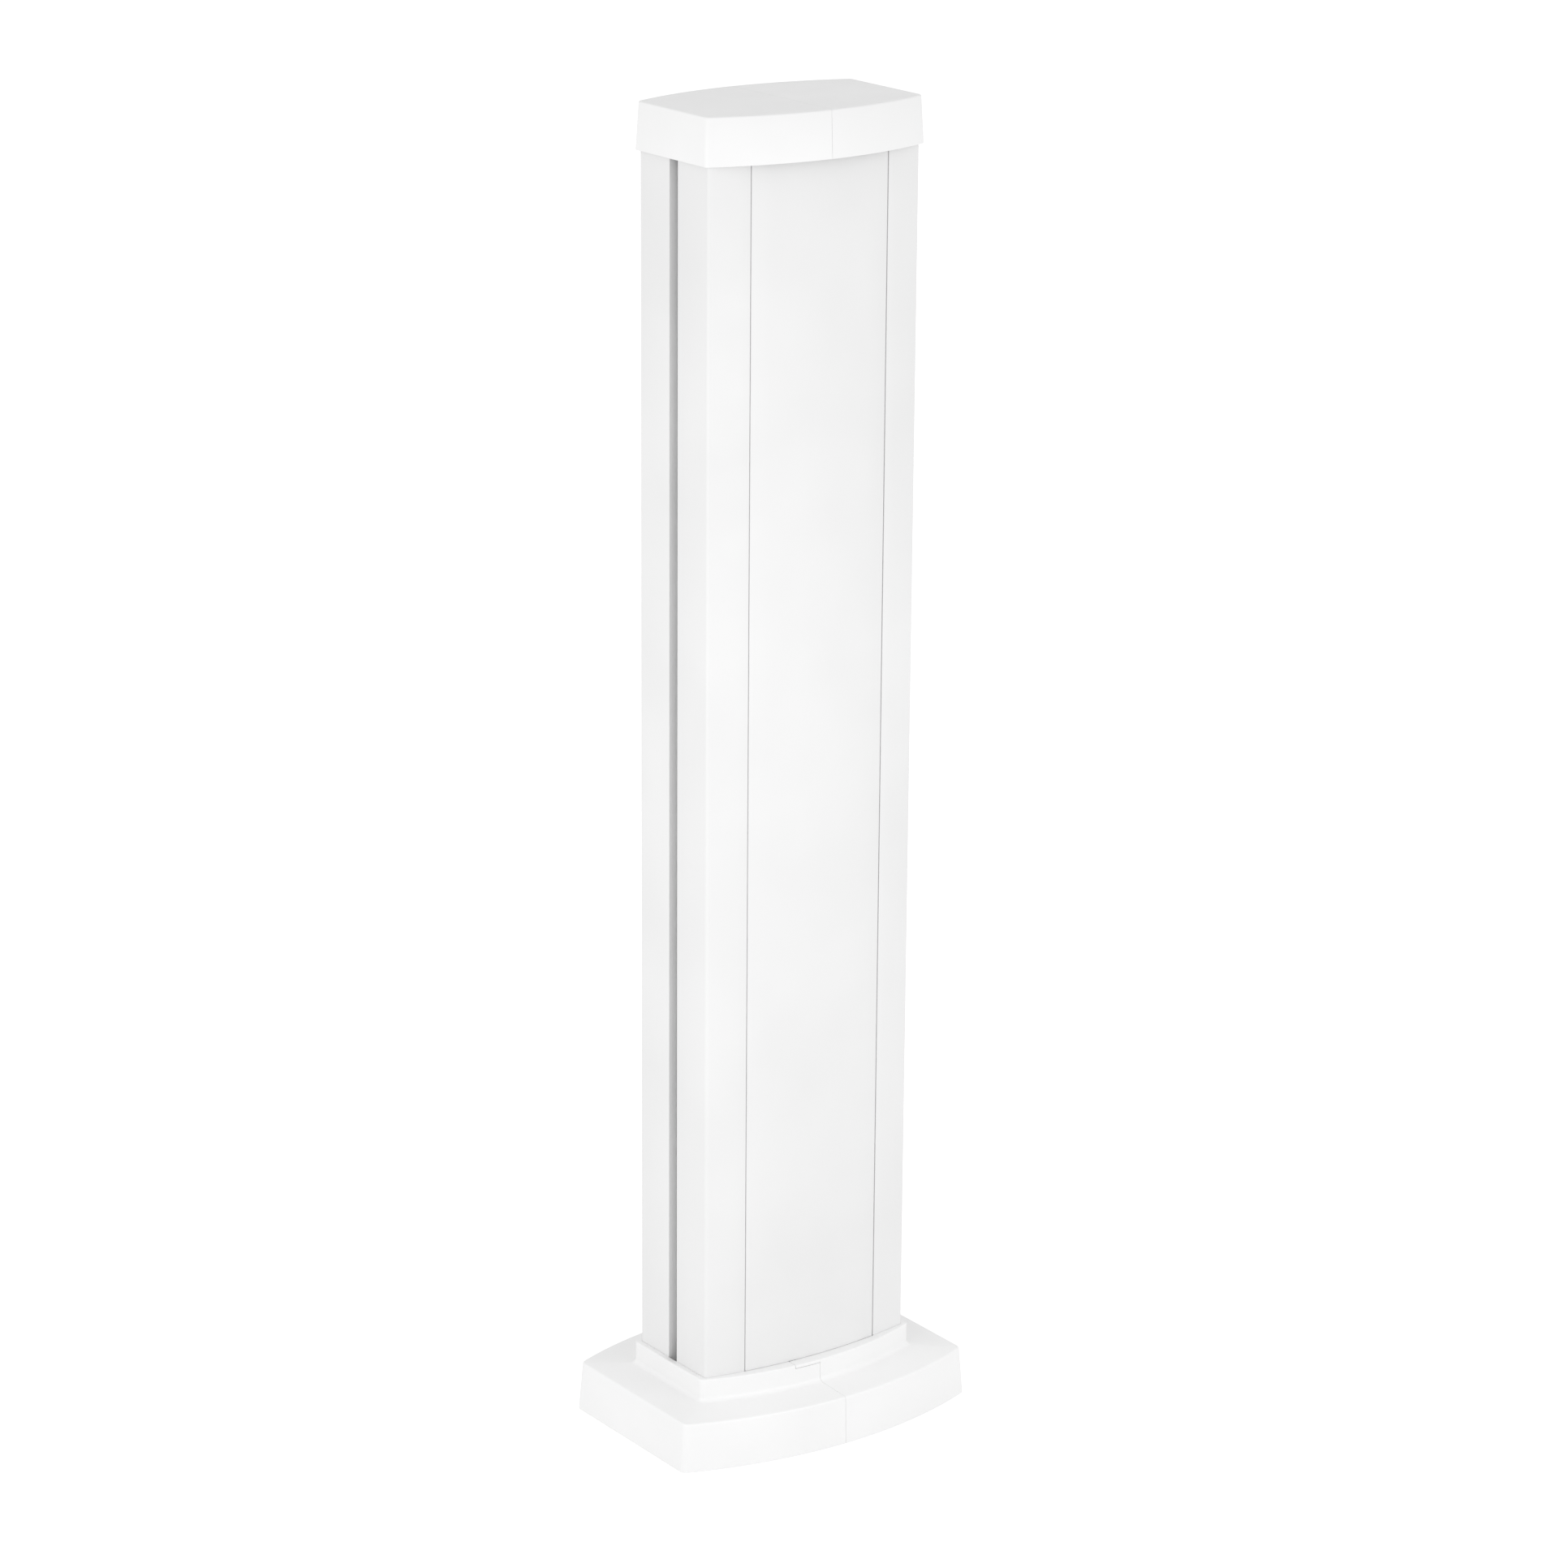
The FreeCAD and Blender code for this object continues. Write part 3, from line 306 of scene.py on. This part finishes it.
def outline(bm, half_width, edge, crown, corner, height):
    """One closed loop at a height: straight sides, and a front and back that bow to the crown."""
    before = set(bm.edges)
    radius = bow_radius(half_width, edge, crown)
    across = half_width - corner
    hub = crown - radius
    deep = hub + math.sqrt((radius - corner) ** 2 - across ** 2)
    half_turn = math.atan2(across, deep - hub)
    corner_turn = math.pi / 2 - half_turn
    steps = sizes().bow_steps
    first = bm.verts.new((half_width, -deep, height))
    last = first
    for side in (1, -1):
        last = line_to(bm, last, side * half_width, side * deep)
        last = arc_from(bm, last, (side * across, side * deep), corner_turn, CORNER_STEPS)
        last = arc_from(bm, last, (0, side * hub), 2 * half_turn, steps)
        last = arc_from(bm, last, (-side * across, side * deep), corner_turn, CORNER_STEPS)
    bmesh.ops.weld_verts(bm, targetmap={last: first})
    return [edge for edge in bm.edges if edge not in before]


def rounded(bm, edges, radius, steps):
    """Round edges of a mesh to a radius."""
    bmesh.ops.bevel(bm, geom=edges, offset=radius, offset_type="OFFSET", segments=steps, profile=0.5,
                    affect="EDGES", clamp_overlap=True, material=-1)


def stack(sections, ring=False):
    """Bridge outlines into one closed mesh. A section is the outline's sizes and the radius on
    that loop. A ring's last loop joins its first, and otherwise both ends are filled. The loops
    are bridged well apart, so that level ones don't twist, and then moved to their heights."""
    bm = bmesh.new()
    apart = 50 * MM
    loops = [outline(bm, *section[:4], number * apart) for number, section in enumerate(sections)]
    pairs = list(zip(loops, loops[1:]))
    if ring:
        pairs.append((loops[-1], loops[0]))
    else:
        bmesh.ops.edgeloop_fill(bm, edges=loops[0])
        bmesh.ops.edgeloop_fill(bm, edges=loops[-1])
    for lower, upper in pairs:
        bmesh.ops.bridge_loops(bm, edges=lower + upper)
    for number, (loop, section) in enumerate(zip(loops, sections)):
        verts = list({vert for edge in loop for vert in edge.verts})
        bmesh.ops.translate(bm, vec=(0, 0, section[4] - number * apart), verts=verts)
    bmesh.ops.recalc_face_normals(bm, faces=bm.faces)
    for loop, section in zip(loops, sections):
        if section[5] > 0:
            rounded(bm, loop, section[5], ROUND_STEPS)
    return bm


def carve(whole, *planes):
    """A copy of the whole mesh with everything outside the planes cut away and closed."""
    part = whole.copy()
    for point, outwards in planes:
        cut = bmesh.ops.bisect_plane(part, geom=part.verts[:] + part.edges[:] + part.faces[:], dist=TINY,
                                     plane_co=point, plane_no=outwards, clear_outer=True)
        edges = [item for item in cut["geom_cut"] if isinstance(item, bmesh.types.BMEdge)]
        bmesh.ops.holes_fill(part, edges=edges, sides=0)
    bmesh.ops.recalc_face_normals(part, faces=part.faces)
    return part


def block(bm, corner, opposite):
    """Add a closed box between two opposite corners."""
    low, high = (Vector(ends) for ends in zip(*(sorted(pair) for pair in zip(corner, opposite))))
    cube = bmesh.ops.create_cube(bm, size=1)
    bmesh.ops.scale(bm, vec=high - low, verts=cube["verts"])
    bmesh.ops.translate(bm, vec=(low + high) / 2, verts=cube["verts"])


def join(target, *others):
    """Add other meshes to the target as solids of their own."""
    for other in others:
        scratch = bpy.data.meshes.new("scratch")
        other.to_mesh(scratch)
        target.from_mesh(scratch)
        bpy.data.meshes.remove(scratch)
        other.free()


def shade(bm):
    """Smooth shading that breaks at every sharp edge."""
    for face in bm.faces:
        face.smooth = True
    for edge in bm.edges:
        edge.smooth = len(edge.link_faces) == 2 and edge.calc_face_angle(0.0) < SHARP_ANGLE


def add_piece(bm, name, material, body, node):
    """Turn a mesh into a finished piece that stands for a frame node."""
    shade(bm)
    mesh = bpy.data.meshes.new(name)
    bm.to_mesh(mesh)
    bm.free()
    mesh.materials.append(material)
    piece = bpy.data.objects.new(name, mesh)
    bpy.context.scene.collection.objects.link(piece)
    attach(piece, body)
    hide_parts(node)
    return piece


def softened(node, radius):
    """A merged copy of a frame node's mesh, with its sharp edges rounded."""
    bm = bmesh.new()
    bm.from_mesh(frame["nodes"][node].data)
    bmesh.ops.remove_doubles(bm, verts=bm.verts, dist=TINY)
    bmesh.ops.dissolve_limit(bm, angle_limit=FLAT_ANGLE, verts=bm.verts, edges=bm.edges)
    upright = [edge for edge in bm.edges if len(edge.link_faces) == 2
               and edge.calc_face_angle(0.0) > EDGE_ANGLE
               and abs((edge.verts[0].co - edge.verts[1].co).normalized().z) > 0.99]
    rounded(bm, upright, radius, SOFT_STEPS)
    return bm


def material_for(slot_name):
    found = bpy.context.scene.get("post_materials")
    return bpy.data.materials[found[slot_name]]


# Operators, one for each piece or group of like pieces

class POST_OT_materials(bpy.types.Operator):
    """Make the post's materials and give them to the frame's own nodes"""
    bl_idname = "post.materials"
    bl_label = "Materials"

    def execute(self, context):
        made = make_materials()
        context.scene["post_materials"] = {slot: material.name for slot, material in made.items()}
        for row in frame["record"]["subparts"]:
            mesh = frame["nodes"][row["node"]].data
            mesh.materials.clear()
            mesh.materials.append(made[row["material_slot"]])
        return {"FINISHED"}


class POST_OT_column(bpy.types.Operator):
    """Round the long edges of the extruded column"""
    bl_idname = "post.column"
    bl_label = "Column"

    def execute(self, context):
        bm = softened("column_profile", sizes().soft_edge)
        add_piece(bm, "column", material_for("column_white"), "post", "column_profile")
        return {"FINISHED"}


class POST_OT_covers(bpy.types.Operator):
    """Round the long edges of the two snap-on covers"""
    bl_idname = "post.covers"
    bl_label = "Covers"

    def execute(self, context):
        for face in FACES:
            node = f"{face}_cover"
            bm = softened(node, sizes().soft_edge)
            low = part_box(node)[0].z
            ends = [vert for vert in bm.verts if vert.co.z < low + TINY]
            bmesh.ops.translate(bm, vec=(0, 0, TRIM_HIGH.z + sizes().cover_rest - low), verts=ends)
            add_piece(bm, f"{face}_cover_shell", material_for("cover_white"), node, node)
        return {"FINISHED"}


class POST_OT_cap(bpy.types.Operator):
    """Build the two halves of the drafted cap"""
    bl_idname = "post.cap"
    bl_label = "Cap"

    def execute(self, context):
        size = sizes()
        side, crown, edge = -CAP_LOW.x, -CAP_LOW.y, size.cap_edge
        bottom, top = CAP_LOW.z, CAP_HIGH.z
        lean, wall = size.cap_draft, size.cap_wall
        upper = (side - lean, edge - lean, crown - lean, size.cap_corner, top, size.cap_round)
        inner = (side - wall, edge - wall / 2, crown - wall, size.cap_corner - wall, bottom, 0)
        ceiling = (side - lean - wall, edge - lean - wall / 2, crown - lean - wall, size.cap_corner - wall,
                   top - wall, 0)
        lower = (side, edge, crown, size.cap_corner, bottom, size.fine_round)
        whole = stack([ceiling, inner, lower, upper])
        for hand, sign in HANDS.items():
            half = carve(whole, ((sign * size.split_gap / 2, 0, 0), (-sign, 0, 0)))
            self.add_hooks(half, sign, top - wall)
            node = f"cap_{hand}"
            add_piece(half, f"{node}_shell", material_for("moulding_white"), node, node)
        whole.free()
        return {"FINISHED"}

    def add_hooks(self, half, sign, ceiling):
        """The two hooks that ride on the insert's rail, and the right half's tongue."""
        size = sizes()
        clear, thick = size.hook_clearance, size.hook_thickness
        near, far = sign * size.hook_near, sign * size.hook_far
        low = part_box("cap_insert")[1].z - size.rail_drop + clear
        for face in (1, -1):
            inside = face * (size.rail_side + clear)
            block(half, (near, inside, low), (far, inside + face * thick, ceiling + thick / 4))
            block(half, (near, inside - face * size.hook_lip, low), (far, inside, low + thick - clear / 2))
        if sign > 0:
            block(half, (-size.tongue_reach, -size.tongue_side, ceiling - thick),
                  (size.tongue_root, size.tongue_side, ceiling - clear))


class POST_OT_base_trim(bpy.types.Operator):
    """Build the two halves of the flared base trim, with the lap at the collar's top"""
    bl_idname = "post.base_trim"
    bl_label = "Base trim"

    def execute(self, context):
        size = sizes()
        whole = stack(self.sections(size), ring=True)
        gap = size.split_gap
        top = TRIM_HIGH.z
        lap_low = top - size.lap_thickness
        crown = -COVER_LOW.y
        to_left, to_right, up, down = (-1, 0, 0), (1, 0, 0), (0, 0, 1), (0, 0, -1)
        rest = lap_low - size.lap_gap
        left = carve(whole, ((-gap / 2, 0, 0), to_right), ((0, 0, rest), up))
        join(left, carve(whole, ((-size.lap_length - size.lap_gap, 0, 0), to_right), ((0, 0, rest), down)))
        right = carve(whole, ((gap / 2, 0, 0), to_left))
        for face in (1, -1):
            join(right, carve(whole, ((-size.lap_length, 0, 0), to_left), ((gap / 2, 0, 0), to_right),
                              ((0, 0, lap_low), down),
                              ((0, face * (crown + size.column_gap), 0), (0, -face, 0))))
        for hand, half in (("left", left), ("right", right)):
            node = f"base_trim_{hand}"
            add_piece(half, f"{node}_shell", material_for("moulding_white"), node, node)
        whole.free()
        return {"FINISHED"}

    def sections(self, size):
        """The loops round the trim's wall, up the outside and down the inside."""
        side, crown, edge = -TRIM_LOW.x, -TRIM_LOW.y, size.trim_edge
        floor, top, wall = TRIM_LOW.z, TRIM_HIGH.z, size.wall
        rim_side, rim_edge = side - size.rim_inset, edge - size.rim_edge_inset
        rim_crown = crown - size.rim_crown_inset
        collar_side, collar_crown, collar_edge = size.collar_side, -CAP_LOW.y, size.cap_edge
        hole_side, hole_crown = COLUMN_HIGH.x + size.column_gap, -COVER_LOW.y + size.column_gap
        hole_edge = size.column_edge + size.column_gap
        inside = (collar_side - wall, collar_edge - size.inner_edge_inset, collar_crown - wall,
                  size.collar_inner_corner)
        flange_low, under = top - size.flange, size.rim_height - wall
        return [
            (side, edge, crown, size.trim_corner, floor, size.fine_round),
            (rim_side, rim_edge, rim_crown, size.trim_corner, size.rim_height, size.rim_round),
            (collar_side, collar_edge, collar_crown, size.cap_corner, size.foot_height, size.foot_round),
            (collar_side, collar_edge, collar_crown, size.cap_corner, top, size.collar_round),
            (hole_side, hole_edge, hole_crown, size.column_corner, top, size.fine_round),
            (hole_side, hole_edge, hole_crown, size.column_corner, flange_low, 0),
            (*inside, flange_low, 0),
            (*inside, under, 0),
            (rim_side - wall, rim_edge - wall, rim_crown - wall, size.trim_inner_corner, under, 0),
            (side - wall, edge - wall, crown - wall, size.trim_inner_corner, floor, 0),
        ]


class POST_OT_stage(bpy.types.Operator):
    """Lay the pale floor and set up the soft light and the camera"""
    bl_idname = "post.stage"
    bl_label = "Stage"

    def execute(self, context):
        settings = context.scene.post_stage
        self.lay_floor(settings)
        self.light(context.scene, settings)
        self.place_camera(context.scene, settings)
        context.scene.view_settings.view_transform = "Standard"
        return {"FINISHED"}

    def lay_floor(self, settings):
        bm = bmesh.new()
        bmesh.ops.create_grid(bm, x_segments=1, y_segments=1, size=settings.floor_size)
        mesh = bpy.data.meshes.new("floor")
        bm.to_mesh(mesh)
        bm.free()
        material, nodes, links = new_material("pale_floor")
        shader = nodes["Principled BSDF"]
        shader.inputs["Base Color"].default_value = (*(settings.floor_tone,) * 3, 1)
        shader.inputs["Roughness"].default_value = 0.9
        shader.inputs["Specular IOR Level"].default_value = 0.0
        shader.inputs["Emission Color"].default_value = (1, 1, 1, 1)
        glow = brighter_in_view(nodes, links, settings.floor_light, settings.floor_seen)
        links.new(glow.outputs["Result"], shader.inputs["Emission Strength"])
        mesh.materials.append(material)
        floor = bpy.data.objects.new("floor", mesh)
        bpy.context.scene.collection.objects.link(floor)

    def light(self, scene, settings):
        """An even white sky and two softboxes, one on each side of the camera."""
        world = bpy.data.worlds.new("studio")
        world.use_nodes = True
        sky = world.node_tree.nodes["Background"]
        sky.inputs["Color"].default_value = (1, 1, 1, 1)
        links = world.node_tree.links
        glow = brighter_in_view(world.node_tree.nodes, links, settings.sky_light, settings.sky_seen)
        links.new(glow.outputs["Result"], sky.inputs["Strength"])
        scene.world = world
        for name, turn, power in (("side", settings.side_turn, settings.side_watts),
                                  ("front", settings.front_turn, settings.front_watts)):
            lamp = bpy.data.lights.new(f"{name}_softbox", "AREA")
            lamp.shape, lamp.size, lamp.size_y = "RECTANGLE", settings.box_width, settings.box_tall
            lamp.energy = power
            box = bpy.data.objects.new(f"{name}_softbox", lamp)
            box.location = (settings.box_reach * math.sin(turn), -settings.box_reach * math.cos(turn),
                            settings.box_level)
            box.visible_camera = False
            facing = Vector((0, 0, settings.box_aim)) - box.location
            box.rotation_euler = facing.to_track_quat("-Z", "Y").to_euler()
            scene.collection.objects.link(box)

    def place_camera(self, scene, settings):
        level = math.cos(settings.elevation)
        back = Vector((math.sin(settings.azimuth) * level, -math.cos(settings.azimuth) * level,
                       math.sin(settings.elevation)))
        data = bpy.data.cameras.new("camera")
        data.lens = settings.lens
        camera = bpy.data.objects.new("camera", data)
        camera.rotation_mode = "QUATERNION"
        camera.location = Vector(settings.aim) + back * settings.distance
        camera.rotation_quaternion = (-back).to_track_quat("-Z", "Y") @ Quaternion((0, 0, 1), settings.roll)
        scene.collection.objects.link(camera)
        scene.camera = camera


class POST_PT_panel(bpy.types.Panel):
    """The post's operators and settings in the sidebar"""
    bl_idname = "POST_PT_panel"
    bl_label = "Service Post"
    bl_space_type = "VIEW_3D"
    bl_region_type = "UI"
    bl_category = "Service Post"

    def draw(self, context):
        for step in STEPS:
            self.layout.operator(step.bl_idname)
        for group in (context.scene.post_sizes, context.scene.post_finish, context.scene.post_stage):
            column = self.layout.box().column()
            for name in group.__annotations__:
                column.prop(group, name)


GROUPS = {"post_sizes": POST_PG_sizes, "post_finish": POST_PG_finish, "post_stage": POST_PG_stage}
STEPS = (POST_OT_materials, POST_OT_column, POST_OT_covers, POST_OT_cap, POST_OT_base_trim, POST_OT_stage)


def register():
    for cls in (*GROUPS.values(), *STEPS, POST_PT_panel):
        bpy.utils.register_class(cls)
    for name, group in GROUPS.items():
        setattr(bpy.types.Scene, name, PointerProperty(type=group))


def unregister():
    for name in GROUPS:
        delattr(bpy.types.Scene, name)
    for cls in reversed((*GROUPS.values(), *STEPS, POST_PT_panel)):
        bpy.utils.unregister_class(cls)


def main():
    register()
    for step in STEPS:
        group, name = step.bl_idname.split(".")
        getattr(getattr(bpy.ops, group), name)()


if __name__ == "__main__":
    main()
